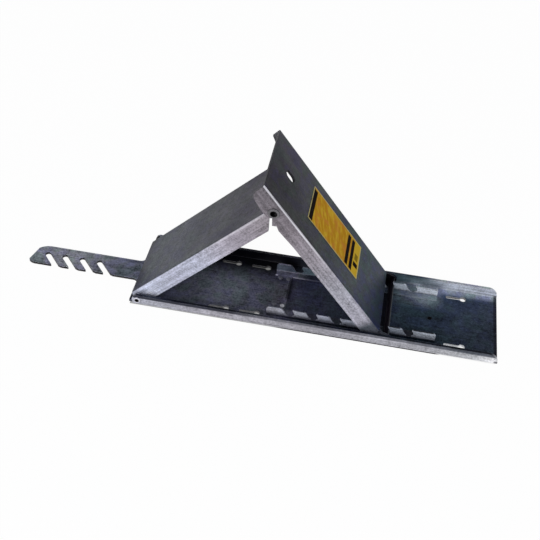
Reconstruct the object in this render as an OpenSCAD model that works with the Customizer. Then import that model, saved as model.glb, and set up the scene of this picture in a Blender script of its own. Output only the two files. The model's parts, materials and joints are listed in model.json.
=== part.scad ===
// Folding slate roof bracket: base channel with hanger tongue, hinged arm,
// hinged brace with a foot rod that drops into notched racks.
// Millimetres. X runs along the base from the hinge, Y across, Z up.

/* [Base channel] */
// Length of the base channel
base_l = 350; // [320:1:420]
// Width over the base flanges
base_w = 89; // [75:0.5:110]
// Height of the base flanges
base_h = 12.5; // [11:0.1:15]
// Thickness of the three folded sheets
sheet_t = 2.5; // [2.05:0.05:2.8]
// Outer radius of the folds
bend_r = 3; // [2.9:0.1:3.6]
// Distance of the flange ears from the hinge end of the web
ear_back = 3.5; // [2:0.1:4.5]
// Radius of the flange corners at the far end
end_corner = 10; // [6:0.1:10.5]

/* [Holes of the base] */
// Distance of the inner keyholes from the hinge end
keyhole_inner = 92.4; // [80:0.1:100]
// Distance of the middle keyholes from the hinge end
keyhole_middle = 122.3; // [118:0.1:126]
// Distance of the outer keyholes from the far end
keyhole_outer = 33.1; // [25:0.1:38]
// Diameter of the keyholes
keyhole_d = 6.2; // [5:0.1:7]
// Distance of the centre hole from the far end
centre_back = 64.2; // [50:0.1:75]
// Diameter of the centre hole
centre_d = 4.6; // [4:0.1:7]

/* [Hanger tongue] */
// Length of the tongue beyond the hinge end
tongue_l = 112; // [94:1:140]
// Width of the tongue
tongue_w = 25.4; // [23:0.2:31]
// Distance between the nail slots
nail_pitch = 17.7; // [15:0.1:19]
// Width of the nail slots
nail_w = 5.7; // [4.7:0.1:6.8]
// Lean of the nail slots from the length of the tongue
nail_lean = 48.5; // [44:0.5:55]

/* [Arm] */
// Lean of the arm over the base
arm_angle = 45.2; // [42:0.1:50]
// Distance between the pivots measured along the arm
arm_reach = 180.1; // [150:0.1:190]
// Depth of the arm flanges
arm_d = 16.3; // [13.6:0.1:19]

/* [Brace] */
// Part of the brace that stands above the upper pivot
lip_l = 27.7; // [23:0.1:33]
// Depth of the brace flanges
brace_d = 15.2; // [13.5:0.1:16.5]
// Length of the slot in the lip
slot_l = 12.6; // [10:0.1:15]
// Width of the slot in the lip
slot_w = 8.2; // [6:0.1:9]

/* [Notch racks] */
// Distance of the racks from the hinge end
rack_start = 131.5; // [129:0.1:136]
// Distance between notches
notch_pitch = 22.6; // [20:0.1:24]
// Width of a notch
notch_w = 6.2; // [5.1:0.1:7.5]
// Play of the foot rod in a notch, towards the hinge
notch_play = 2.4; // [1.6:0.1:3]
// Slant of the notches from upright
notch_slant = 30; // [26:0.5:36]
// Height of the racks over the roof side of the base
rack_top = 12.5; // [11.5:0.1:14.5]
// Thickness of the rack sheet
rack_t = 1.6; // [1.3:0.1:2.2]
// Distance between the outer faces of the two racks
rack_span = 61.8; // [52:0.2:66]

/* [Rivets] */
// Diameter of the hinge rivets
hinge_pin_d = 4.6; // [4:0.1:4.8]
// Diameter of the upper rivets
apex_pin_d = 7.6; // [6.5:0.1:8]
// Diameter of the small rivets of the racks
rack_pin_d = 3; // [2.4:0.1:3.6]

/* [Hidden] */
$fn = 48;
eps = 0.01;
run_gap = 0.4;      // between flanges that slide past each other
side_gap = 0.3;     // between the base flanges and the brace
floor_gap = 0.5;    // between the base web and the ears over it
fit_gap = 0.05;     // round the pins
wide = base_w * 2;

hinge_x = 8.8;
hinge_z = 6.6;
arm_n = 6.3;        // arm surface above the hinge pivot
apex_n = 3.4;       // upper pivot above the hinge pivot, square to the arm
pin_n = 9.1;        // upper pivot under the brace surface
rod_n = 0.6;        // foot rod above the brace surface

brace_w = base_w - 2 * (sheet_t + side_gap);
arm_w = brace_w - 2 * (sheet_t + run_gap);

apex_x = hinge_x + arm_reach * cos(arm_angle) - apex_n * sin(arm_angle);
apex_z = hinge_z + arm_reach * sin(arm_angle) + apex_n * cos(arm_angle);

notches = 6;
notch_used = 5;
rack_lead = 23.8;   // start of the racks to the first notch
rack_tail = 23.2;   // last notch to the end of the racks
notch_x = rack_start + rack_lead;
notch_z = sheet_t + rack_t + notch_w / 2 + 0.3;
rack_end = notch_x + notch_pitch * (notches - 1) + rack_tail;
tooth_break = 1.3;  // taken off the corners of the teeth
tooth_run = 1.4;     // run of the corner towards the hinge for each mm it drops
rack_foot = 7.9;    // width of the feet of the racks
band_in = 2.5;      // start of the racks to the cross band
band_w = 14;

rod_d = notch_w - 0.6;
rod_x = notch_x + notch_pitch * (notch_used - 1);
rod_z = notch_z;

foot_dx = rod_x - apex_x;
foot_dz = apex_z - rod_z;
foot_dist = sqrt(foot_dx * foot_dx + foot_dz * foot_dz);
brace_angle = atan2(foot_dz, foot_dx) + asin((pin_n + rod_n) / foot_dist);
rod_u = lip_l + sqrt(foot_dist * foot_dist - pow(pin_n + rod_n, 2));
brace_x = apex_x - lip_l * cos(brace_angle) + pin_n * sin(brace_angle);
brace_z = apex_z + lip_l * sin(brace_angle) + pin_n * cos(brace_angle);
// the web of the brace stops over the racks and before the ears
brace_low = rack_top + 2 * run_gap + sheet_t * cos(brace_angle);
brace_end = min(rod_u - 8, (brace_z - brace_low) / sin(brace_angle));

hinge_ear = hinge_z - sheet_t - floor_gap;
apex_ear = pin_n - sheet_t - run_gap;
foot_ear = notch_z - sheet_t - floor_gap;

// Cross-section of a channel, web on top and flanges down
module channel2d(w, d, r) {
    ri = max(r - sheet_t, 0.3);
    difference() {
        bar2d(w, d, r);
        translate([0, -sheet_t])
            bar2d(w - 2 * sheet_t, d, ri);
    }
}

module bar2d(w, d, r) {
    translate([-w / 2, -d])
        square([w, d - r]);
    translate([-w / 2 + r, -d])
        square([w - 2 * r, d]);
    for (s = [-1, 1])
        translate([s * (w / 2 - r), -r])
            circle(r);
}

// Runs a YZ outline along X
module along_x(x0, x1) {
    translate([x0, 0, 0])
        rotate([90, 0, 90])
            linear_extrude(x1 - x0)
                children();
}

// Runs an XZ outline across Y
module across_y(y0, y1) {
    translate([0, y1, 0])
        rotate([90, 0, 0])
            linear_extrude(y1 - y0)
                children();
}

// The same on both sides, given by distances from the middle
module both_sides(y0, y1) {
    across_y(y0, y1)
        children();
    across_y(-y1, -y0)
        children();
}

module at_arm() {
    translate([hinge_x, 0, hinge_z])
        rotate([0, -arm_angle, 0])
            children();
}

module at_brace() {
    translate([brace_x, 0, brace_z])
        rotate([0, brace_angle, 0])
            children();
}

module cross_bore(d, y0, y1) {
    translate([0, y1, 0])
        rotate([90, 0, 0])
            cylinder(d = d, h = y1 - y0);
}

// Base channel with the hanger tongue
module tongue2d() {
    h = tongue_w / 2;
    l = tongue_l;
    slot_up = 0.8;
    difference() {
        polygon([[2, h + 3], [0, h + 3], [-1, h + 1.2], [-3.5, h],
            [15 - l, h], [11 - l, h - 0.7], [7.3 - l, h - 2.4], [4.4 - l, h - 4.7],
            [-l, 3.6 - h], [0.6 - l, 2.4 - h], [2.6 - l, 0.9 - h], [6 - l, -h],
            [-3.5, -h], [-1, -h - 1.2], [0, -h - 3], [2, -h - 3]]);
        for (i = [0:3])
            translate([15.9 - l + i * nail_pitch, slot_up])
                nail_slot2d(h + slot_up);
    }
}

// Slanted slot open at the near edge, corners of its mouth broken
module nail_slot2d(drop) {
    m = nail_w / 2 / sin(nail_lean);
    circle(d = nail_w);
    rotate(-nail_lean)
        translate([0, 0.05 - nail_w / 2])
            square([tongue_w, nail_w - 0.1]);
    translate([drop / tan(nail_lean), -drop])
        polygon([[-m - 1, -1], [-m - 1, 0], [-m - 0.5, 0.6],
            [m - 1, 1.1], [m + 2, 0], [m + 2, -1]]);
}

// Round hole with a narrow tail towards the hinge
module keyhole2d(x, y) {
    tail_l = 15.3;
    tail_w = 3;
    translate([x, y]) {
        circle(d = keyhole_d);
        translate([-tail_l, -tail_w / 2])
            square([tail_l, tail_w]);
        translate([-tail_l, 0])
            circle(d = tail_w);
    }
}

module base_holes2d() {
    k = rack_span / 2 + 0.9;
    for (s = [-1, 1]) {
        keyhole2d(keyhole_inner, s * k);
        keyhole2d(keyhole_middle, s * k);
        keyhole2d(base_l - keyhole_outer, s * k);
    }
    translate([base_l - centre_back, -1])
        circle(d = centre_d);
}

// Taken off the flanges at the hinge end, which leaves round ears
module hinge_end2d() {
    r = base_h / 2 + 0.3;
    difference() {
        translate([-1, -1])
            square([ear_back + r + 1, base_h + 2]);
        translate([ear_back + r, base_h / 2])
            circle(r);
    }
}

// Taken off the upper corners of the flanges at the far end
module far_end2d() {
    r = end_corner;
    difference() {
        translate([base_l - r, base_h - r])
            square([r + 1, r + 1]);
        translate([base_l - r, base_h - r])
            circle(r);
    }
}

module base_channel() {
    color([0.55, 0.57, 0.62])
        difference() {
            union() {
                along_x(0, base_l)
                    mirror([0, 1])
                        channel2d(base_w, base_h, bend_r);
                linear_extrude(sheet_t)
                    tongue2d();
            }
            translate([0, 0, -1])
                linear_extrude(sheet_t + 2)
                    base_holes2d();
            both_sides(base_w / 2 - sheet_t - 0.6, base_w / 2 + 1) {
                hinge_end2d();
                far_end2d();
            }
            translate([hinge_x, 0, hinge_z]) {
                cross_bore(hinge_pin_d + 2 * fit_gap, -wide, -arm_w / 2);
                cross_bore(hinge_pin_d + 2 * fit_gap, arm_w / 2, wide);
            }
        }
}

// Notched racks: two upright rails with inward feet, joined by a cross band
module rail2d() {
    difference() {
        translate([rack_start, sheet_t])
            square([rack_end - rack_start, rack_top - sheet_t]);
        for (i = [0:notches - 1])
            translate([notch_x + i * notch_pitch, notch_z])
                notch2d();
        // bevelled outer corners of the end teeth
        for (x = [rack_start, rack_end])
            translate([x, rack_top])
                rotate(45)
                    square([3, 3], center = true);
    }
}

// Slanted notch: the rod rests against its right wall, the play is on its left.
// The corners of the teeth are broken.
module notch2d() {
    up = rack_top - notch_z;
    lean = tan(notch_slant);
    wall = notch_w / 2 / cos(notch_slant);
    left = -wall - notch_play;
    drop = tooth_break / (1 + lean);
    ease = tooth_break / (tooth_run - lean);
    polygon(concat(
        [[wall + tooth_break + 1 - up * lean, up + 1],
         [wall - (up - drop) * lean, up - drop]],
        arc(0, 0, notch_w / 2, notch_slant, -90, 8),
        arc(-notch_play, 0, notch_w / 2, -90, notch_slant - 180, 6),
        [[left - (up - ease) * lean, up - ease],
         [left - tooth_break - tooth_run - up * lean, up + 1]]));
}

module rack_foot2d() {
    h = rack_span / 2;
    for (s = [-1, 1])
        translate([rack_start, s > 0 ? h - rack_foot : -h])
            square([rack_end - rack_start, rack_foot]);
    translate([rack_start + band_in, -h])
        square([band_w, 2 * h]);
}

module notch_rack() {
    h = rack_span / 2;
    r = rack_t;
    color([0.66, 0.67, 0.74])
        difference() {
            union() {
                both_sides(h - rack_t, h)
                    rail2d();
                translate([0, 0, sheet_t])
                    linear_extrude(rack_t)
                        rack_foot2d();
            }
            // outer radius of the folds under the rails
            for (s = [-1, 1])
                along_x(rack_start - 1, rack_end + 1)
                    scale([s, 1])
                        difference() {
                            translate([h - r, sheet_t - 1])
                                square([r + 1, r + 1]);
                            translate([h - r, sheet_t + r])
                                circle(r);
                        }
            for (i = [0:3])
                translate([rivet_x(i), rivet_y(i), 0])
                    cylinder(d = rack_pin_d + 2 * fit_gap, h = 20);
        }
}

function rivet_x(i) = rack_start + band_in + band_w / 2 + (i % 2 == 0 ? -3.9 : 3.9);
function rivet_y(i) = (i < 2 ? -1 : 1) * (rack_span / 2 - 12.2);

module rack_rivet(i) {
    head_d = rack_pin_d + 1.3;
    color([0.72, 0.73, 0.78])
        translate([rivet_x(i), rivet_y(i), sheet_t]) {
            cylinder(d = rack_pin_d, h = rack_t + 0.2);
            translate([0, 0, rack_t])
                cylinder(d = head_d, h = 0.6);
            translate([0, 0, rack_t + 0.6])
                cylinder(d1 = head_d, d2 = head_d - 1.6, h = 0.5);
        }
}

// Points along an arc
function arc(x, y, r, a0, a1, n) =
    [for (i = [0:n]) [x + r * cos(a0 + (a1 - a0) * i / n), y + r * sin(a0 + (a1 - a0) * i / n)]];

// Arm: web on top, flanges down, ears at both pivots
module arm_side2d() {
    low = arm_n - arm_d;
    a = arm_angle;
    // foot of the flange, cut level just above the base web
    cut_u = (sheet_t + floor_gap - hinge_z - (low - 1) * cos(a)) / sin(a);
    polygon(concat([[-hinge_ear, 0], [-hinge_ear, arm_n + 1], [arm_reach - 8, arm_n + 1]],
        arc(arm_reach, apex_n, apex_ear, 100, -138, 20),
        [[arm_reach - 9, apex_n - 3.4], [arm_reach - 20.1, low - 1], [cut_u, low - 1]],
        arc(0, 0, hinge_ear, 270 - a, 180, 6)));
}

module platform_arm() {
    web_end = arm_reach - apex_pin_d / 2 - 4.2;
    color([0.60, 0.61, 0.66])
        at_arm()
            difference() {
                intersection() {
                    union() {
                        along_x(-12, web_end)
                            translate([0, arm_n])
                                channel2d(arm_w, arm_d, bend_r);
                        both_sides(arm_w / 2 - sheet_t, arm_w / 2)
                            translate([web_end - eps, -40])
                                square([60, 80]);
                    }
                    across_y(-wide, wide)
                        arm_side2d();
                }
                cross_bore(hinge_pin_d + 2 * fit_gap, -wide, wide);
                translate([arm_reach, 0, apex_n])
                    cross_bore(apex_pin_d + 2 * fit_gap, -wide, wide);
            }
}

// Brace: lip above the upper pivot, foot ears round the rod
module brace_side2d() {
    d = brace_d;
    l = lip_l;
    polygon(concat([[0, 0], [1.6, 5.9 - d], [5, 5 - d], [8.5, 4 - d], [11.5, 1.2 - d],
        [15.5, -d - 1.3], [19, -d - 1.7], [l + 1.6, -d - 1.7], [l + 3.6, 1.8 - d],
        [l + 10.4, -d - 3], [l + 12.8, 0.2 - d], [l + 17.8, -d - 1.2], [l + 40, -d],
        [rod_u - 14, -d], [rod_u - 7.5, 3.4 - d]],
        arc(rod_u, rod_n, foot_ear, -50, 114, 12),
        [[brace_end, 0]]));
}

// The near ear of the lip is a fuller lobe than the far one
module near_lobe2d() {
    d = brace_d;
    polygon([[1.6, 5.9 - d], [2.1, 3.4 - d], [4.5, 1.3 - d], [7.7, -0.2 - d],
        [12.3, -0.9 - d], [15.5, -d - 1.3], [12, 6 - d]]);
}

module brace() {
    color([0.47, 0.48, 0.54])
        at_brace()
            difference() {
                intersection() {
                    union() {
                        along_x(-1, brace_end)
                            channel2d(brace_w, 40, bend_r);
                        both_sides(brace_w / 2 - sheet_t, brace_w / 2)
                            translate([brace_end - eps, -40])
                                square([60, 80]);
                    }
                    union() {
                        across_y(-wide, wide)
                            brace_side2d();
                        across_y(-wide, 0)
                            near_lobe2d();
                    }
                }
                translate([lip_l, 0, -pin_n])
                    cross_bore(apex_pin_d + 2 * fit_gap, -wide, wide);
                translate([rod_u, 0, rod_n])
                    cross_bore(rod_d + 2 * fit_gap, -wide, wide);
                translate([0, 0, -sheet_t - 1])
                    linear_extrude(sheet_t + 2)
                        slot2d(lip_l - 0.8, 3.7, slot_l, slot_w);
            }
}

module slot2d(x, y, l, w) {
    translate([x - (l - w) / 2, y - w / 2])
        square([l - w, w]);
    for (s = [-1, 1])
        translate([x + s * (l - w) / 2, y])
            circle(d = w);
}

module foot_rod() {
    color([0.50, 0.51, 0.56])
        translate([rod_x, 0, rod_z])
            cross_bore(rod_d, -brace_w / 2, brace_w / 2);
}

// Tubular rivet with a head on each side, drawn from its outer face inwards
module tube_rivet(pin_d, bore_d, head_d, head_t, grip) {
    inner_r = pin_d / 2 + 1.1;
    difference() {
        rotate_extrude()
            polygon([[0, -head_t], [head_d / 2 - 0.5, -head_t], [head_d / 2, -head_t + 0.5],
                [head_d / 2, 0], [pin_d / 2, 0], [pin_d / 2, grip],
                [inner_r, grip], [inner_r, grip + 1.1], [0, grip + 1.1]]);
        translate([0, 0, -head_t - 1])
            cylinder(d = bore_d, h = head_t + grip + 4);
    }
}

module hinge_rivet(s) {
    color([0.70, 0.71, 0.76])
        translate([hinge_x, s * base_w / 2, hinge_z])
            rotate([s * 90, 0, 0])
                tube_rivet(hinge_pin_d, hinge_pin_d - 1.6, hinge_pin_d + 2, 0.8,
                    (base_w - arm_w) / 2 + sheet_t + side_gap);
}

module hinge_washer(s) {
    y1 = base_w / 2 - sheet_t;
    y0 = arm_w / 2 + side_gap;
    color([0.52, 0.53, 0.58])
        translate([hinge_x, s > 0 ? y1 : -y0, hinge_z])
            rotate([90, 0, 0])
                difference() {
                    cylinder(d = 7.4, h = y1 - y0);
                    translate([0, 0, -1])
                        cylinder(d = hinge_pin_d + 2 * fit_gap, h = y1 - y0 + 2);
                }
}

module apex_rivet(s) {
    color([0.62, 0.63, 0.68])
        translate([apex_x, s * brace_w / 2, apex_z])
            rotate([s * 90, 0, 0])
                tube_rivet(apex_pin_d, apex_pin_d - 1.8, apex_pin_d + 2.8, 1.1,
                    2 * sheet_t + run_gap + side_gap);
}

base_channel();
notch_rack();
rack_rivet(0);  // rack_rivet_1
rack_rivet(1);  // rack_rivet_2
rack_rivet(2);  // rack_rivet_3
rack_rivet(3);  // rack_rivet_4
platform_arm();
brace();
foot_rod();
hinge_rivet(-1);  // hinge_rivet_near
hinge_rivet(1);  // hinge_rivet_far
hinge_washer(-1);  // hinge_washer_near
hinge_washer(1);  // hinge_washer_far
apex_rivet(-1);  // apex_rivet_near
apex_rivet(1);  // apex_rivet_far
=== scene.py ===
import json
import math
import bpy
import bmesh
from mathutils import Matrix, Vector


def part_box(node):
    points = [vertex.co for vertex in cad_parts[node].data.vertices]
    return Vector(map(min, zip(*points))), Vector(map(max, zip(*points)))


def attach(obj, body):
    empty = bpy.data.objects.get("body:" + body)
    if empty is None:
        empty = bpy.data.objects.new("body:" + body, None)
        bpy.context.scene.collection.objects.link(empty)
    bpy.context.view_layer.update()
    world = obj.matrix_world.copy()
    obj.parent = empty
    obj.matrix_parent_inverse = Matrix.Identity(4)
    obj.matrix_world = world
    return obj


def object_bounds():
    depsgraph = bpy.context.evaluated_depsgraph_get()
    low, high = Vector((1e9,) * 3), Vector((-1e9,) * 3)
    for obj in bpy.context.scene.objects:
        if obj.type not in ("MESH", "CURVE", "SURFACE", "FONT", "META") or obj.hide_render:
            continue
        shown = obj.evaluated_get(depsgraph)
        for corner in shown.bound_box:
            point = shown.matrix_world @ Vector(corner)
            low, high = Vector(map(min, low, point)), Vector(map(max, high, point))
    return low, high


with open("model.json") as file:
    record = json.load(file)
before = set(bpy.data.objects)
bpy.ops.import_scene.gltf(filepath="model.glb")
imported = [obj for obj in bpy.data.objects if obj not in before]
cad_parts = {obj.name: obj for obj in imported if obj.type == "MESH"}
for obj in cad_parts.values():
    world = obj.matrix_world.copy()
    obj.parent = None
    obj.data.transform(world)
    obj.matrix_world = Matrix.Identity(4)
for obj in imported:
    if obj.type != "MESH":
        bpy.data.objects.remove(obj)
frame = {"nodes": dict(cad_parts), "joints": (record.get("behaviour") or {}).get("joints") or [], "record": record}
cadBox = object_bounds()
nodes = frame["nodes"]
print("frame loaded:", len(nodes), "pieces")


# shader maths written as expressions on sockets
class Signal:
    def __init__(self, bench, socket):
        self.bench = bench
        self.socket = socket

    def maths(self, operation, first, second):
        return self.bench.add("ShaderNodeMath", {"operation": operation}, {0: first, 1: second})

    def __add__(self, other):
        return self.maths("ADD", self, other)

    def __radd__(self, other):
        return self.maths("ADD", other, self)

    def __sub__(self, other):
        return self.maths("SUBTRACT", self, other)

    def __rsub__(self, other):
        return self.maths("SUBTRACT", other, self)

    def __mul__(self, other):
        return self.maths("MULTIPLY", self, other)

    def __rmul__(self, other):
        return self.maths("MULTIPLY", other, self)

    def __gt__(self, other):
        return self.maths("GREATER_THAN", self, other)

    def __lt__(self, other):
        return self.maths("LESS_THAN", self, other)

    def atMost(self, other):
        return self.maths("MINIMUM", self, other)

    def atLeast(self, other):
        return self.maths("MAXIMUM", self, other)

    def distance(self):
        return self.maths("ABSOLUTE", self, 0.0)

    def sibling(self, output):  # another output of the same node
        return Signal(self.bench, self.socket.node.outputs[output])


# one bench for each node tree: adds nodes and wires them
class Bench:
    def __init__(self, tree):
        self.tree = tree

    def add(self, kind, settings, inputs, output=0):
        node = self.tree.nodes.new(kind)
        for name, value in settings.items():
            if name == "stops":
                ramp = node.color_ramp
                while len(ramp.elements) < len(value):
                    ramp.elements.new(1.0)
                for stop, (place, shade) in zip(ramp.elements, value):
                    stop.position = place
                    stop.color = (*shade, 1.0) if isinstance(shade, tuple) else (shade, shade, shade, 1.0)
            else:
                setattr(node, name, value)
        for name, value in inputs.items():
            if isinstance(value, Signal):
                self.tree.links.new(value.socket, node.inputs[name])
            else:
                node.inputs[name].default_value = value
        return Signal(self, node.outputs[output])

    def wire(self, signal, node, name):
        self.tree.links.new(signal.socket, node.inputs[name])

    def mixColour(self, factor, first, second, mode="MIX"):
        socket = {"A": 6, "B": 7}  # the colour sockets of a Mix node
        fill = {"Factor": factor}
        for name, value in (("A", first), ("B", second)):
            fill[socket[name]] = value if isinstance(value, Signal) else (*value, 1.0)[:4]
        return self.add("ShaderNodeMix", {"data_type": "RGBA", "blend_type": mode}, fill, output=2)

    def tinted(self, colour, tint):
        return self.mixColour(1.0, colour, tint, mode="MULTIPLY")

    def ramp(self, signal, low, high):
        return self.add("ShaderNodeMapRange", {"clamp": True},
                        {"Value": signal, "From Min": low, "From Max": high})

    def tones(self, signal, stops):
        first, last = stops[0][0], stops[-1][0]
        places = [((place - first) / (last - first), shade) for place, shade in stops]
        return self.add("ShaderNodeValToRGB", {"stops": places}, {"Fac": self.ramp(signal, first, last)})

    def within(self, signal, edges):  # edges: (start, full) or (rise, full, fade, end)
        if len(edges) == 2:
            return self.ramp(signal, *edges)
        rise, full, fade, end = edges
        return self.ramp(signal, rise, full) * self.ramp(signal, end, fade)

    def dot(self, first, second):
        return self.add("ShaderNodeVectorMath", {"operation": "DOT_PRODUCT"},
                        {0: first, 1: second}, output="Value")

    def noise(self, place, scale, detail=3.0, rough=0.5):
        return self.add("ShaderNodeTexNoise", {"noise_dimensions": "3D"},
                        {"Vector": place, "Scale": scale, "Detail": detail, "Roughness": rough})

    def crevice(self, reach):
        return self.add("ShaderNodeAmbientOcclusion", {"samples": 6, "only_local": True},
                        {"Distance": reach}, output="AO")

    def bump(self, shader, height, strength, depth, normal=None):
        inputs = {"Height": height, "Strength": strength, "Distance": depth}
        if normal is not None:
            inputs["Normal"] = normal
        self.wire(self.add("ShaderNodeBump", {}, inputs), shader, "Normal")


def newMaterial(name):
    material = bpy.data.materials.new(name)
    material.use_nodes = True
    tree = material.node_tree
    shader = tree.nodes["Principled BSDF"]
    return material, Bench(tree), shader


# places taken from the frame
lengthwise = (1.0, 0.0, 0.0)
crosswise = (0.0, 1.0, 0.0)
upward = (0.0, 0.0, 1.0)
nodeBox = {name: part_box(name) for name in ("base_channel", "foot_rod")}
baseHigh = nodeBox["base_channel"][1]
rodLow, rodHigh = nodeBox["foot_rod"]
rod = (rodLow + rodHigh) / 2
rod.y = 0
joints = {joint["name"]: joint for joint in frame["joints"]}
hinge = Vector(joints["arm_hinge"]["pos_m"])
apex = Vector(joints["brace_hinge"]["pos_m"])
mounts = {mount["name"]: mount for mount in frame["record"]["mounts"]}
armNormal = Vector(mounts["platform_face"]["axis"])
armLean = math.atan2(-armNormal.x, armNormal.z)
armAlong = (math.cos(armLean), 0.0, math.sin(armLean))

braceShape = {
    "pinBelowFace": 0.0091,  # upper pivot under the outer face
    "rodAboveFace": 0.0006,  # foot rod over the outer face
    "lip": 0.0277,  # top edge to the upper pivot
}
legLine = rod - apex
braceLean = math.atan2(-legLine.z, legLine.x)
braceLean += math.asin((braceShape["pinBelowFace"] + braceShape["rodAboveFace"]) / legLine.length)
braceAlong = Vector((math.cos(braceLean), 0, -math.sin(braceLean)))
braceNormal = Vector((math.sin(braceLean), 0, math.cos(braceLean)))
braceTop = apex - braceAlong * braceShape["lip"] + braceNormal * braceShape["pinBelowFace"]


# what all galvanised sheets share; a higher scale makes a finer pattern
zinc = {
    "rolled": {"scale": 1.0, "detail": 4.0, "rough": 0.6},
    "rolledAlong": 9.0,  # lines of rolling, long down the leg and narrow across it
    "rolledAcross": 520.0,
    "blotch": {"scale": 18.0, "detail": 6.0, "rough": 0.66},
    "fine": {"scale": 170.0, "detail": 3.0, "rough": 0.75},
    "speck": {"scale": 620.0, "detail": 2.0, "rough": 0.7},
    "hue": {"scale": 75.0, "detail": 3.0},
    "spangleScale": 150.0,
    "toneOf": {"blotch": 1.7, "fine": 1.5, "spangle": 0.12, "speck": 2.0},
    "heightOf": {"fine": 0.5, "rolled": 0.7, "blotch": 0.6, "speck": 0.25},
    "flangeTone": 0.72,  # share of the pattern that flanges show
    "darkestTone": 0.25,
    "streak": 0.55,  # how strongly the rolled lines show
    "streakLessOnWeb": 0.15,
    "lineEdges": (0.32, 0.68),
    "bluish": (0.90, 0.86, 1.35),
    "bluishEdges": (0.50, 0.57),
    "greenish": (0.82, 1.16, 0.90),
    "greenishEdges": (0.48, 0.41),
    "creviceReach": 0.010,
    "dirtAndShade": (0.020, 0.019, 0.022),
    "dirtAndShadeEdges": (0.95, 0.30),
    "dirtRough": 0.4,
    "bareAndHighlight": (0.78, 0.77, 0.82),
    "edgeRadius": 0.0006,
    "edgeWear": (0.99, 0.80),
    "roughLow": 0.28,
    "roughHigh": 0.52,
    "rolledRough": 0.20,
    "spangleRough": 0.05,
    "foldSmooth": 0.08,
    "smoothest": 0.12,
    "relief": 0.16,
    "reliefDepth": 0.0006,
}

# how squarely a face has to look the way named here to count as one of these
faceEdges = {
    "web": (0.82, 0.96),  # through the leg
    "fold": (0.40, 0.60, 0.86, 0.97),  # through the leg
    "cut": (0.75, 0.92),  # along the leg
    "far": (0.60, 0.30),  # to the far side, where less counts more
}

# holds where a leg's own look says nothing else
plainLook = {
    "nearMetal": 0.78,
    "webMetal": 0.78,
    "wall": [(0.0, zinc["dirtAndShade"]), (0.2, zinc["dirtAndShade"])],
    "wallsWithin": 0.0,  # upright faces nearer the middle than this take the wall tones
    "darkBelow": -1.0,  # faces lower than this take the web tones
    "roughShift": 0.0,
    "marks": [],
}
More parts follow.
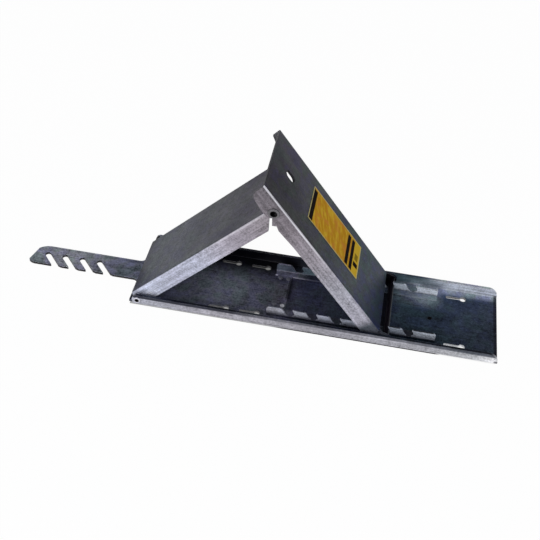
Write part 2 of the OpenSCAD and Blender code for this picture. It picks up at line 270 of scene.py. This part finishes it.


# galvanised sheet: web and flanges take tones of painted reflection and shade, rolled lines follow the leg
def galvanised(name, ownLook, along, webFacing, start=(0.0, 0.0, 0.0)):
    look = {**plainLook, **ownLook}
    material, bench, shader = newMaterial(name)
    place = bench.add("ShaderNodeTexCoord", {}, {}, output="Object")
    outward = place.sibling("Normal")
    alongLeg = bench.dot(place, along) - Vector(along).dot(Vector(start))
    acrossLeg = bench.dot(place, crosswise)
    throughLeg = bench.dot(place, webFacing)
    stretched = bench.add("ShaderNodeCombineXYZ", {},
                          {"X": alongLeg * zinc["rolledAlong"], "Y": acrossLeg * zinc["rolledAcross"],
                           "Z": throughLeg * zinc["rolledAcross"]})
    rolled = bench.noise(stretched, **zinc["rolled"])
    blotch = bench.noise(place, **zinc["blotch"])
    fine = bench.noise(place, **zinc["fine"])
    speck = bench.noise(place, **zinc["speck"])
    flowers = bench.add("ShaderNodeTexVoronoi", {"feature": "F1"},
                        {"Vector": place, "Scale": zinc["spangleScale"], "Randomness": 1.0}, output="Color")
    spangle = bench.add("ShaderNodeSeparateColor", {}, {"Color": flowers})
    patterns = {"rolled": rolled, "blotch": blotch, "fine": fine, "speck": speck, "spangle": spangle}

    # which face of the leg it is
    turned = bench.dot(outward, webFacing).distance()
    sideways = bench.dot(outward, crosswise)
    isWeb = bench.within(turned, faceEdges["web"])
    isFold = bench.within(turned, faceEdges["fold"])
    isCut = bench.within(bench.dot(outward, along).distance(), faceEdges["cut"])
    isFar = bench.ramp(acrossLeg, -0.004, 0.004) * bench.within(sideways, faceEdges["far"])
    isLow = throughLeg < look["darkBelow"]
    isWall = (acrossLeg.distance() < look["wallsWithin"]) * (1.0 - isWeb)

    # tones along the leg with its marks, which paint light and shade
    flange = bench.mixColour(isFar, bench.tones(alongLeg, look["near"]), bench.tones(alongLeg, look["far"]))
    webTone = bench.tones(alongLeg, look["web"])
    colour = bench.mixColour(isWeb.atLeast(isCut).atLeast(isLow), flange, webTone)
    ways = {"along": alongLeg, "across": acrossLeg, "through": throughLeg, "facing": sideways}
    for mark in look["marks"]:
        inside = mark["amount"]
        for way, signal in ways.items():
            if way in mark:
                inside = bench.within(signal, mark[way]) * inside
        colour = bench.mixColour(inside, colour, mark["colour"])
    # walls of holes and notches take painted shade, and painted light where the floor shows through; far walls
    # take more painted shade
    wallTone = bench.mixColour(isFar * 0.7, bench.tones(alongLeg, look["wall"]), zinc["dirtAndShade"])
    colour = bench.mixColour(isWall, colour, wallTone)

    # patterns of the zinc over them
    # painted shading across the web
    steep, slopeStart, slopeFull = look["slope"]
    slope = acrossLeg * steep * bench.ramp(alongLeg, slopeStart, slopeFull) * isWeb
    tone = sum((patterns[pattern] - 0.5) * share for pattern, share in zinc["toneOf"].items())
    tone = tone * (zinc["flangeTone"] + isWeb * (1.0 - zinc["flangeTone"]))
    streak = zinc["streak"] - isWeb * zinc["streakLessOnWeb"]
    lines = (bench.within(rolled, zinc["lineEdges"]) - 0.5) * streak
    colour = bench.tinted(colour, (1.0 + tone + lines + slope).atLeast(zinc["darkestTone"]))
    hue = bench.noise(place, **zinc["hue"])
    bluish = bench.tinted(colour, zinc["bluish"])
    greenish = bench.tinted(colour, zinc["greenish"])
    smears = isWeb * look["smears"]
    colour = bench.mixColour(bench.within(hue, zinc["bluishEdges"]) * smears, colour, bluish)
    colour = bench.mixColour(bench.within(hue, zinc["greenishEdges"]) * smears, colour, greenish)

    # dirt and painted shade in the corners, bare metal on edges, painted highlight on folds
    crevice = bench.crevice(zinc["creviceReach"])
    creviceDirtAndShade = bench.within(crevice, zinc["dirtAndShadeEdges"]) * look["grimeAndShade"] * bench.ramp(blotch, 0.20, 0.50)
    colour = bench.mixColour(creviceDirtAndShade, colour, zinc["dirtAndShade"])
    rounded = bench.add("ShaderNodeBevel", {"samples": 4}, {"Radius": zinc["edgeRadius"]})
    facing = bench.add("ShaderNodeNewGeometry", {}, {}, output="Normal")
    worn = bench.within(bench.dot(rounded, facing), zinc["edgeWear"]) * look["wear"] * (1.0 - isCut)
    worn = worn * bench.ramp(fine, 0.35, 0.6) * bench.ramp(crevice, 0.55, 0.80)
    # painted highlight along the folds
    foldHighlight = isFold * bench.tones(alongLeg, look["foldHighlightStops"]) * (1.0 - isFar) * (1.0 - isLow)
    wearAndHighlight = ((worn + foldHighlight * bench.ramp(rolled, 0.30, 0.5)) * (1.0 - isWall)).atMost(1.0)
    bench.wire(bench.mixColour(wearAndHighlight, colour, zinc["bareAndHighlight"]), shader, "Base Color")

    rough = bench.ramp(blotch, 0.3, 0.7) * (zinc["roughHigh"] - zinc["roughLow"])
    rough = rough + zinc["roughLow"] + look["roughShift"] + (rolled - 0.5) * zinc["rolledRough"]
    rough = rough + spangle * zinc["spangleRough"] + creviceDirtAndShade * zinc["dirtRough"] - isFold * zinc["foldSmooth"]
    bench.wire(rough.atLeast(zinc["smoothest"]), shader, "Roughness")
    metal = look["nearMetal"] * (1.0 - isFar) + bench.tones(alongLeg, look["farMetal"]) * isFar
    bench.wire(metal * (1.0 - isWeb) + isWeb * look["webMetal"], shader, "Metallic")
    height = sum(patterns[pattern] * share for pattern, share in zinc["heightOf"].items())
    bench.bump(shader, height, zinc["relief"], zinc["reliefDepth"], rounded)
    return material


# looks of the legs: web, near, far, wall, farMetal and foldHighlightStops are stops of
# (metres from the leg's start, colour or strength), and their colours hold painted light and shade; slope is
# how steeply the painted shading of the web brightens to the far side, then where that starts and is full; a mark
# is a soft patch, mostly of painted light or shade
onSheet = (0.005, 0.004)  # low enough to lie on the base's own sheet
nearSide = (-0.039, -0.040)
farSide = (0.035, 0.040)

baseLook = {
    "web": [(-0.110, (0.46, 0.48, 0.56)), (-0.080, (0.54, 0.55, 0.60)), (-0.040, (0.40, 0.41, 0.46)),
            (-0.018, (0.28, 0.30, 0.37)), (0.060, (0.21, 0.22, 0.28)), (0.100, (0.26, 0.275, 0.34)),
            (0.140, (0.22, 0.22, 0.28)), (0.150, (0.11, 0.11, 0.165)), (0.165, (0.082, 0.092, 0.145)),
            (0.185, (0.080, 0.088, 0.140)), (0.270, (0.054, 0.088, 0.128)), (0.345, (0.072, 0.094, 0.138))],
    "near": [(0.000, (0.37, 0.38, 0.44)), (0.080, (0.34, 0.33, 0.375)), (0.105, (0.38, 0.37, 0.415)),
             (0.168, (0.27, 0.265, 0.295)), (0.200, (0.32, 0.315, 0.355)), (0.275, (0.39, 0.39, 0.43)),
             (0.330, (0.44, 0.45, 0.475)), (0.346, (0.72, 0.72, 0.74))],
    "far": [(0.110, (0.004, 0.004, 0.008)), (0.150, (0.020, 0.022, 0.036)), (0.255, (0.10, 0.17, 0.20)),
            (0.285, (0.26, 0.30, 0.34)), (0.310, (0.58, 0.62, 0.70))],
    "wall": [(0.040, (0.020, 0.019, 0.022)), (0.070, (0.42, 0.42, 0.44)), (0.135, (0.42, 0.42, 0.44)),
             (0.150, (0.006, 0.007, 0.012)), (0.293, (0.006, 0.007, 0.012)), (0.298, (0.85, 0.87, 0.90))],
    "wallsWithin": 0.036,
    "farMetal": [(0.105, 0.90), (0.135, 0.40), (0.250, 0.10)],
    "foldHighlightStops": [(0.0, 0.15), (0.35, 0.15)],
    "smears": 0.35,
    "wear": 0.12,
    "slope": (9.0, 0.20, 0.27),
    "grimeAndShade": 0.40,
    "marks": [
        # gutter along the near flange, painted shade at both ends and a painted reflection between
        {"colour": (0.014, 0.017, 0.034), "amount": 0.80, "through": onSheet,
         "along": (0.135, 0.105), "across": (-0.0422, -0.0415, -0.036, -0.032)},
        {"colour": (0.014, 0.017, 0.034), "amount": 0.80, "through": onSheet,
         "along": (0.235, 0.250), "across": (-0.0422, -0.0415, -0.036, -0.032)},
        {"colour": (0.42, 0.41, 0.46), "amount": 0.75, "through": onSheet,
         "along": (0.120, 0.138, 0.222, 0.238), "across": (-0.0422, -0.0415, -0.034, -0.031)},
        # painted shadow of the arm on the far side
        {"colour": (0.004, 0.004, 0.009), "amount": 0.96, "along": (0.020, 0.030, 0.130, 0.175),
         "across": (0.006, 0.032), "facing": (0.60, 0.30)},
        # painted sheen beyond the brace and in the far gutter
        {"colour": (0.42, 0.46, 0.52), "amount": 0.90, "through": onSheet,
         "along": (0.240, 0.276, 0.284, 0.299), "across": (0.010, 0.026)},
        {"colour": (0.50, 0.54, 0.60), "amount": 0.90, "through": onSheet,
         "along": (0.265, 0.300), "across": (0.033, 0.040)},
        # shade at the foot of the brace
        {"colour": (0.010, 0.006, 0.014), "amount": 0.85, "through": onSheet,
         "along": (0.216, 0.224, 0.242, 0.249), "across": (-0.036, -0.030)},
        # painted highlight on the top of the far flange, painted shade on the outer end of the web
        {"colour": (0.52, 0.54, 0.58), "amount": 0.90, "through": (0.0112, 0.0118),
         "along": (0.272, 0.295), "across": farSide},
        {"colour": (0.020, 0.018, 0.030), "amount": 0.80, "through": onSheet, "along": (0.3462, 0.3475)},
        # painted shade along the top of the near flange in three stretches
        {"colour": (0.006, 0.008, 0.020), "amount": 0.95, "through": (0.0086, 0.0098),
         "along": (0.180, 0.100), "across": nearSide},
        {"colour": (0.018, 0.022, 0.040), "amount": 0.65, "through": (0.0086, 0.0102),
         "along": (0.100, 0.180), "across": nearSide},
        {"colour": (0.030, 0.040, 0.060), "amount": 0.75, "through": (0.0075, 0.0095),
         "along": (0.250, 0.320), "across": nearSide},
        # painted shade along the top of the far flange just beyond the brace
        {"colour": (0.045, 0.075, 0.090), "amount": 0.75, "through": (0.0085, 0.0100),
         "along": (0.235, 0.240, 0.272, 0.292), "across": farSide},
        # shade beside the cross band of the racks
        {"colour": (0.014, 0.014, 0.024), "amount": 0.70, "through": onSheet,
         "along": (0.1470, 0.1475, 0.1495, 0.1520), "across": (-0.012, -0.006, 0.018, 0.022)},
    ],
}
baseZinc = galvanised("baseZinc", baseLook, lengthwise, upward)

armLook = {
    "web": [(0.000, (0.076, 0.083, 0.102)), (0.050, (0.087, 0.093, 0.112)), (0.080, (0.065, 0.068, 0.083)),
            (0.135, (0.053, 0.051, 0.067)), (0.165, (0.058, 0.052, 0.069))],
    "near": [(0.010, (0.50, 0.53, 0.64)), (0.050, (0.39, 0.40, 0.49)), (0.080, (0.51, 0.53, 0.65)),
             (0.115, (0.43, 0.405, 0.475)), (0.127, (0.32, 0.295, 0.345)), (0.165, (0.31, 0.28, 0.31))],
    "far": [(0.000, (0.20, 0.20, 0.23)), (0.180, (0.16, 0.16, 0.18))],
    "farMetal": [(0.0, 0.70), (0.2, 0.70)],
    "foldHighlightStops": [(0.090, 0.04), (0.120, 0.35), (0.165, 0.42)],
    "smears": 0.25,
    "wear": 0.20,
    "slope": (-4.0, 0.02, 0.08),
    "grimeAndShade": 0.45,
    "roughShift": 0.10,
    "marks": [
        # touch of shade on the upper corner of the near ear
        {"colour": (0.020, 0.019, 0.028), "amount": 0.55, "along": (0.070, 0.110, 0.170, 0.175),
         "across": (-0.0395, -0.0375, -0.0350, -0.0325), "through": (0.0050, 0.0055)},
        # painted shade at the hinge end, painted light on the foot of the near flange
        {"colour": (0.020, 0.018, 0.026), "amount": 0.40, "along": (0.010, 0.001)},
        {"colour": (0.78, 0.81, 0.95), "amount": 0.90, "along": (0.001, 0.008, 0.014, 0.025),
         "across": (-0.0365, -0.0375), "through": (-0.016, -0.014, -0.006, 0.001)},
    ],
}
armZinc = galvanised("armZinc", armLook, armAlong, tuple(armNormal), start=tuple(hinge))

braceLook = {
    "web": [(0.000, (0.025, 0.022, 0.033)), (0.035, (0.024, 0.023, 0.031)), (0.060, (0.029, 0.031, 0.037)),
            (0.110, (0.028, 0.036, 0.046)), (0.140, (0.034, 0.044, 0.058)), (0.165, (0.029, 0.041, 0.066)),
            (0.180, (0.018, 0.028, 0.052))],
    "near": [(0.000, (0.165, 0.150, 0.170)), (0.050, (0.22, 0.195, 0.22)), (0.090, (0.33, 0.305, 0.345)),
             (0.130, (0.39, 0.39, 0.45)), (0.169, (0.40, 0.39, 0.46)), (0.178, (0.065, 0.075, 0.095)),
             (0.195, (0.050, 0.050, 0.068))],
    "far": [(0.000, (0.14, 0.14, 0.15)), (0.170, (0.12, 0.12, 0.14)), (0.180, (0.008, 0.008, 0.012))],
    "wall": [(0.0, (0.030, 0.029, 0.036)), (0.2, (0.030, 0.029, 0.036))],
    "wallsWithin": 0.036,
    "farMetal": [(0.0, 0.70), (0.2, 0.70)],
    "foldHighlightStops": [(0.000, 0.95), (0.060, 0.90), (0.095, 0.25), (0.130, 0.0)],
    "smears": 1.0,
    "wear": 0.20,
    "webMetal": 0.95,
    "slope": (15.0, 0.120, 0.030),
    "grimeAndShade": 0.40,
    "roughShift": 0.06,
}
braceZinc = galvanised("braceZinc", braceLook, tuple(braceAlong), tuple(braceNormal), start=tuple(braceTop))

rackLook = {
    "web": [(0.146, (0.32, 0.315, 0.39)), (0.157, (0.22, 0.22, 0.28)), (0.166, (0.06, 0.062, 0.10)),
            (0.235, (0.06, 0.08, 0.12)), (0.270, (0.19, 0.22, 0.25))],
    "near": [(0.137, (0.41, 0.41, 0.46)), (0.166, (0.44, 0.46, 0.52)), (0.190, (0.37, 0.39, 0.47)),
             (0.255, (0.40, 0.45, 0.53)), (0.280, (0.66, 0.72, 0.80))],
    "far": [(0.137, (0.11, 0.135, 0.175)), (0.146, (0.055, 0.068, 0.10)), (0.166, (0.10, 0.15, 0.18)),
            (0.190, (0.16, 0.19, 0.22)), (0.240, (0.44, 0.50, 0.56)), (0.280, (0.58, 0.62, 0.68))],
    "farMetal": [(0.0, 0.20), (0.2, 0.20)],
    "nearMetal": 0.20,
    "foldHighlightStops": [(0.0, 0.0), (0.3, 0.0)],
    "smears": 0.30,
    "wear": 0.0,
    "slope": (25.0, 0.235, 0.262),
    "grimeAndShade": 0.25,
    "roughShift": 0.10,
    "darkBelow": 0.0046,
    "marks": [
        # painted shade on the foot of the near rail
        {"colour": (0.10, 0.10, 0.13), "amount": 0.60, "through": (0.0080, 0.0045),
         "across": (-0.010, -0.020)},
        # cross band: dull, darker to the far side, with painted shade along its outer edge
        {"colour": (0.165, 0.155, 0.200), "amount": 0.90, "along": (0.147, 0.145),
         "across": (-0.020, -0.012, 0.006, 0.014)},
        {"colour": (0.085, 0.090, 0.125), "amount": 0.90, "along": (0.147, 0.145),
         "across": (0.006, 0.014, 0.018, 0.023)},
        {"colour": (0.025, 0.024, 0.038), "amount": 0.85, "along": (0.1455, 0.1465),
         "across": (-0.012, -0.007, 0.016, 0.022)},
    ],
}
rackZinc = galvanised("rackZinc", rackLook, lengthwise, upward)
print("zinc finishes made")


# worn bar of the foot, painted near black for its shade, with a painted highlight on the side away from the hinge
bar = {
    "dark": ((0.003, 0.002, 0.006), (0.012, 0.008, 0.017)),
    "highlight": ((0.10, 0.11, 0.12), (0.20, 0.21, 0.22)),
    "highlightFacing": (0.55, 0.85),
    "wear": {"scale": 260.0, "detail": 4.0, "rough": 0.7},
    "wearEdges": (0.35, 0.65),
    "roughFrom": 0.42,
    "relief": 0.2,
    "reliefDepth": 0.0004,
}


def barSteel():
    material, bench, shader = newMaterial("rodSteel")
    place = bench.add("ShaderNodeTexCoord", {}, {}, output="Object")
    side = bench.within(bench.dot(place.sibling("Normal"), lengthwise), bar["highlightFacing"])
    fine = bench.noise(place, **bar["wear"])
    worn = bench.within(fine, bar["wearEdges"])
    colour = bench.mixColour(side, bench.mixColour(worn, *bar["dark"]), bench.mixColour(worn, *bar["highlight"]))
    bench.wire(colour, shader, "Base Color")
    bench.wire(bar["roughFrom"] + fine * 0.2, shader, "Roughness")
    shader.inputs["Metallic"].default_value = 1.0
    bench.bump(shader, fine, bar["relief"], bar["reliefDepth"])
    return material


# rivets, whose bore is painted dark as shade; a negative bore means none
rivets = {
    "hingeRivets": {"axis": hinge, "bore": 0.0020, "tint": (0.60, 0.60, 0.66), "metal": 0.7},
    "apexRivets": {"axis": apex, "bore": 0.0031, "tint": (0.15, 0.145, 0.155), "metal": 0.7},
    "glintRackRivet": {"axis": hinge, "bore": -1.0, "tint": (0.92, 0.92, 0.94), "metal": 0.1},
    "dullRackRivets": {"axis": hinge, "bore": -1.0, "tint": (0.24, 0.24, 0.29), "metal": 0.7},
}
rivetWear = {
    "pattern": {"scale": 420.0, "detail": 4.0, "rough": 0.7},
    "darkest": 0.70,
    "spread": 0.55,
    "creviceReach": 0.003,
    "boreBlur": 0.0003,
    "boreShade": (0.006, 0.005, 0.007),
    "roughFrom": 0.36,
    "relief": 0.15,
    "reliefDepth": 0.0003,
}


def rivetSteel(name):
    facts = rivets[name]
    axis, bore = facts["axis"], facts["bore"]
    material, bench, shader = newMaterial(name)
    place = bench.add("ShaderNodeTexCoord", {}, {}, output="Object")
    flat = bench.add("ShaderNodeVectorMath", {"operation": "MULTIPLY"}, {0: place, 1: (1.0, 0.0, 1.0)})
    offAxis = bench.add("ShaderNodeVectorMath", {"operation": "DISTANCE"},
                        {0: flat, 1: (axis.x, 0.0, axis.z)}, output="Value")
    fine = bench.noise(place, **rivetWear["pattern"])
    tone = rivetWear["darkest"] + bench.ramp(fine, 0.3, 0.7) * rivetWear["spread"]
    # dirt and painted shade in the crevices
    creviceDirtAndShade = bench.ramp(bench.crevice(rivetWear["creviceReach"]), 0.9, 0.3) * 0.7
    colour = bench.mixColour(creviceDirtAndShade, bench.tinted(facts["tint"], tone), zinc["dirtAndShade"])
    inBore = bench.ramp(offAxis, bore + rivetWear["boreBlur"], bore)
    bench.wire(bench.mixColour(inBore, colour, rivetWear["boreShade"]), shader, "Base Color")
    bench.wire(rivetWear["roughFrom"] + fine * 0.2, shader, "Roughness")
    shader.inputs["Metallic"].default_value = facts["metal"]
    bench.bump(shader, fine, rivetWear["relief"], rivetWear["reliefDepth"])
    return material


# finish of each CAD piece by the start of its name; a later line wins
rodSteel = barSteel()
rivetSteels = {name: rivetSteel(name) for name in rivets}
finishes = {
    "base_channel": baseZinc,
    "notch_rack": rackZinc,
    "platform_arm": armZinc,
    "brace": braceZinc,
    "foot_rod": rodSteel,
    "hinge_": rivetSteels["hingeRivets"],
    "apex_": rivetSteels["apexRivets"],
    "rack_rivet": rivetSteels["dullRackRivets"],
    "rack_rivet_2": rivetSteels["glintRackRivet"],  # the one painted near white as a glint
}
for beginning, material in finishes.items():
    for name, node in nodes.items():
        if name.startswith(beginning):
            for slot in node.material_slots:
                slot.material = material
print("pieces finished")


# bare sticker on the brace with plain fields of colour; a field is its start and end
# down the brace from the sticker's top, then its near and far side
sticker = {
    "start": 0.0593,  # from the top edge of the brace
    "length": 0.0825,
    "nearSide": -0.0162,
    "farSide": 0.0280,
    "lift": 0.00012,
    "thickness": 0.00010,
    "corner": 0.0008,
    "cornerSteps": 4,
    "border": 0.0010,
    "blur": 0.0003,
    "yellowFrom": 0.0722,
    "brownTo": 0.0020,
    "oliveField": (0.0744, 0.0795, 0.0035, 0.0120),
    "barFields": [(0.0011, 0.0062, -0.0150, 0.0250), (0.0602, 0.0650, -0.0138, 0.0246),
                  (0.0674, 0.0720, -0.0140, 0.0246), (0.0734, 0.0804, -0.0052, 0.0006)],
    "amber": (0.52, 0.25, 0.012),
    "orange": (0.58, 0.22, 0.035),
    "yellow": (0.66, 0.42, 0.030),
    "edge": (0.56, 0.50, 0.22),
    "brown": (0.16, 0.09, 0.045),
    "bar": (0.006, 0.003, 0.002),
    "olive": (0.16, 0.11, 0.008),
    "wear": {"scale": 150.0, "detail": 5.0, "rough": 0.65},
    "smear": {"scale": 1.0, "detail": 3.0, "rough": 0.6},
    "smearSlant": 0.35,
    "smearDown": 260.0,
    "smearAcross": 70.0,
    "patches": {"scale": 110.0, "detail": 2.0},
    "roughFrom": 0.60,
    "gloss": 0.03,
    "relief": 0.12,
    "reliefDepth": 0.0003,
}


def stickerMaterial():
    material, bench, shader = newMaterial("stickerAmber")
    place = bench.add("ShaderNodeTexCoord", {}, {}, output="Object")
    turned = bench.add("ShaderNodeVectorRotate", {"rotation_type": "Y_AXIS"},
                       {"Vector": place, "Angle": -braceLean, "Center": tuple(braceTop)})
    parts = bench.add("ShaderNodeSeparateXYZ", {}, {"Vector": turned})
    across = parts.sibling("Y")
    down = parts - braceTop.x - sticker["start"]
    wear = bench.noise(turned, **sticker["wear"])
    slanted = bench.add("ShaderNodeCombineXYZ", {},
                        {"X": (down + across * sticker["smearSlant"]) * sticker["smearDown"],
                         "Y": across * sticker["smearAcross"]})
    smear = bench.noise(slanted, **sticker["smear"])
    patches = bench.noise(turned, **sticker["patches"])
    colour = bench.mixColour(bench.ramp(smear, 0.46, 0.62), sticker["amber"], sticker["yellow"])
    colour = bench.mixColour(bench.ramp(patches, 0.50, 0.66) * 0.8, colour, sticker["orange"])

    def field(start, end, near, far):
        blur = sticker["blur"]
        inLength = bench.within(down, (start - blur, start + blur, end - blur, end + blur))
        return inLength * bench.within(across, (near - blur, near + blur, far - blur, far + blur))

    length, near, far = sticker["length"], sticker["nearSide"], sticker["farSide"]
    colour = bench.mixColour(field(sticker["yellowFrom"], length, near, far), colour, sticker["yellow"])
    colour = bench.mixColour(field(0.0, sticker["brownTo"], near, far) * 0.9, colour, sticker["brown"])
    colour = bench.mixColour(field(*sticker["oliveField"]) * 0.8, colour, sticker["olive"])
    bars = sum(field(*edges) for edges in sticker["barFields"])
    colour = bench.mixColour(bars.atMost(1.0) * bench.ramp(wear, 0.15, 0.35), colour, sticker["bar"])
    rim = sticker["border"]
    inner = field(rim, length - rim, near + rim, far - rim)
    colour = bench.mixColour((1.0 - inner) * bench.ramp(wear, 0.25, 0.45) * 0.85, colour, sticker["edge"])
    bench.wire(colour, shader, "Base Color")
    bench.wire(sticker["roughFrom"] + wear * 0.2, shader, "Roughness")
    shader.inputs["Specular IOR Level"].default_value = sticker["gloss"]
    bench.bump(shader, wear, sticker["relief"], sticker["reliefDepth"])
    return material


def makeSticker():
    mesh = bpy.data.meshes.new("brace_sticker")
    shape = bmesh.new()
    u0, u1 = sticker["start"], sticker["start"] + sticker["length"]
    y0, y1, cut = sticker["nearSide"], sticker["farSide"], sticker["corner"]
    steps = sticker["cornerSteps"]
    outline = []
    for cu, cy, turn in ((u0, y0, 180), (u1, y0, 270), (u1, y1, 0), (u0, y1, 90)):
        middleU = cu + (cut if cu == u0 else -cut)
        middleY = cy + (cut if cy == y0 else -cut)
        for step in range(steps + 1):
            angle = math.radians(turn + step * 90 / steps)
            outline.append((middleU + cut * math.cos(angle), middleY + cut * math.sin(angle)))
    foot = braceTop + braceNormal * sticker["lift"]
    corners = [shape.verts.new(foot + braceAlong * u + Vector((0, y, 0))) for u, y in outline]
    face = shape.faces.new(corners)
    face.normal_update()
    if face.normal.dot(braceNormal) < 0:
        face.normal_flip()
    grown = bmesh.ops.extrude_face_region(shape, geom=[face])
    moved = [item for item in grown["geom"] if isinstance(item, bmesh.types.BMVert)]
    bmesh.ops.translate(shape, verts=moved, vec=braceNormal * sticker["thickness"])
    bmesh.ops.recalc_face_normals(shape, faces=shape.faces)
    shape.to_mesh(mesh)
    shape.free()
    mesh.materials.append(stickerMaterial())
    piece = bpy.data.objects.new("brace_sticker", mesh)
    bpy.context.scene.collection.objects.link(piece)
    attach(piece, "brace")


makeSticker()
print("sticker placed")


# floor and world
studio = {
    "floorSize": 6.0,
    "floorLevel": -0.0004,
    "floorWhite": 0.86,
    "floorMottle": 0.02,
    "mottleScale": 3.0,
    "floorGlow": 0.97,  # how far camera rays see plain white, the rest keeps the shadow
    # painted shadow on the floor under the base, seen through its holes
    "shadeUnderBase": (0.01, 0.01, 0.012),
    "underInset": 0.001,  # the painted shadow on the floor ends this far inside the base
    # painted light on the floor under the holes, along the base; the far holes take less
    "holeLight": [(0.070, 0.38), (0.140, 0.38), (0.150, 0.0), (0.293, 0.0), (0.298, 0.90)],
    "farHoles": {"along": (0.20, 0.15), "across": (0.0, 0.01)},
    "farHoleDim": 0.55,
    "skyLow": (0.95, 0.95, 0.97),
    "skyHigh": (0.10, 0.105, 0.12),
    "skyTurn": (0.22, 0.55),  # heights at which the wall ends and the ceiling starts
    "skySoft": (0.9, 0.92, 1.0),  # light from the room that is neither seen nor mirrored
    "skyLight": 0.50,
}


def makeFloor():
    material, bench, shader = newMaterial("studioFloor")
    path = bench.add("ShaderNodeLightPath", {}, {}, output="Is Camera Ray")
    seen = (path + path.sibling("Is Glossy Ray") + path.sibling("Is Transmission Ray")).atMost(1.0)
    spot = bench.add("ShaderNodeTexCoord", {}, {}, output="Object")
    white, whiter = studio["floorWhite"], studio["floorWhite"] + studio["floorMottle"]
    tone = bench.mixColour(bench.noise(spot, studio["mottleScale"]), (white,) * 3, (whiter,) * 3)
    shader.inputs["Roughness"].default_value = 0.9
    spotX = bench.dot(spot, lengthwise)
    spotY = bench.dot(spot, crosswise)
    inset, far = studio["underInset"], studio["farHoles"]
    fromBelow = bench.add("ShaderNodeNewGeometry", {}, {}, output="Backfacing")
    # painted shadow under the base, with painted light at the holes
    shadeUnderBase = (spotX > inset) * (spotX < baseHigh.x - inset) * (spotY.distance() < baseHigh.y - inset)
    shadeUnderBase = shadeUnderBase * (1.0 - fromBelow)
    farHoles = bench.within(spotY, far["across"]) * bench.within(spotX, far["along"])
    holeLight = bench.tones(spotX, studio["holeLight"]) * (1.0 - farHoles * studio["farHoleDim"])
    bench.wire(bench.mixColour(shadeUnderBase, tone, studio["shadeUnderBase"]), shader, "Base Color")
    seen = seen * (1.0 - shadeUnderBase * (1.0 - holeLight))
    glow = bench.add("ShaderNodeEmission", {}, {"Color": (1, 1, 1, 1), "Strength": 1.0})
    lit = Signal(bench, shader.outputs["BSDF"])
    mixed = bench.add("ShaderNodeMixShader", {}, {0: seen * studio["floorGlow"], 1: lit, 2: glow})
    bench.wire(mixed, bench.tree.nodes["Material Output"], "Surface")
    half, level = studio["floorSize"] / 2, studio["floorLevel"]
    corners = [(-half, -half, level), (half, -half, level), (half, half, level), (-half, half, level)]
    mesh = bpy.data.meshes.new("studio_floor")
    mesh.from_pydata(corners, [], [(0, 1, 2, 3)])
    mesh.materials.append(material)
    floor = bpy.data.objects.new("studio_floor", mesh)
    bpy.context.scene.collection.objects.link(floor)


def makeWorld():
    world = bpy.data.worlds.new("studioWorld")
    bpy.context.scene.world = world
    world.use_nodes = True
    bench = Bench(world.node_tree)
    background = world.node_tree.nodes["Background"]
    path = bench.add("ShaderNodeLightPath", {}, {}, output="Is Camera Ray")
    seen = (path.sibling("Is Glossy Ray") + path.sibling("Is Transmission Ray")).atMost(1.0)
    way = bench.add("ShaderNodeTexCoord", {}, {}, output="Generated")
    height = bench.add("ShaderNodeSeparateXYZ", {}, {"Vector": way}, output="Z")
    sky = bench.mixColour(bench.within(height, studio["skyTurn"]), studio["skyLow"], studio["skyHigh"])
    soft = bench.mixColour(seen, studio["skySoft"], sky)
    bench.wire(bench.mixColour(path, soft, (1.0, 1.0, 1.0)), background, "Color")
    strength = (path + seen).atMost(1.0)
    bench.wire(strength * (1.0 - studio["skyLight"]) + studio["skyLight"], background, "Strength")


lamps = {
    "keyLamp": {"place": (-0.5, -1.5, 0.75), "size": 1.0, "power": 16.0, "tint": (1.0, 0.99, 0.99)},
    "fillLamp": {"place": (1.4, -0.6, 1.0), "size": 1.2, "power": 4.0, "tint": (0.95, 0.97, 1.0)},
}


def makeLamps():
    middle = (cadBox[0] + cadBox[1]) / 2
    for name, facts in lamps.items():
        data = bpy.data.lights.new(name, "AREA")
        data.shape = "DISK"
        data.size = facts["size"]
        data.energy = facts["power"]
        data.color = facts["tint"]
        lamp = bpy.data.objects.new(name, data)
        lamp.location = facts["place"]
        lamp.rotation_euler = (middle - lamp.location).to_track_quat("-Z", "Y").to_euler()
        bpy.context.scene.collection.objects.link(lamp)


view = {
    "place": (0.20502, -0.60589, 0.61644),
    "target": (0.13208, -0.03015, 0.0600),
    "roll": 4.2025,  # degrees
    "lens": 59.05,
    "sensor": 36.0,
    "clipStart": 0.01,
}


def makeCamera():
    data = bpy.data.cameras.new("photoCamera")
    data.lens = view["lens"]
    data.sensor_width = view["sensor"]
    data.clip_start = view["clipStart"]
    camera = bpy.data.objects.new("photoCamera", data)
    place = Vector(view["place"])
    turn = (Vector(view["target"]) - place).to_track_quat("-Z", "Y").to_matrix()
    turn = turn @ Matrix.Rotation(math.radians(view["roll"]), 3, "Z")
    camera.matrix_world = Matrix.Translation(place) @ turn.to_4x4()
    bpy.context.scene.collection.objects.link(camera)
    bpy.context.scene.camera = camera


makeFloor()
makeWorld()
makeLamps()
makeCamera()
bpy.context.scene.view_settings.view_transform = "Standard"
print("studio ready")
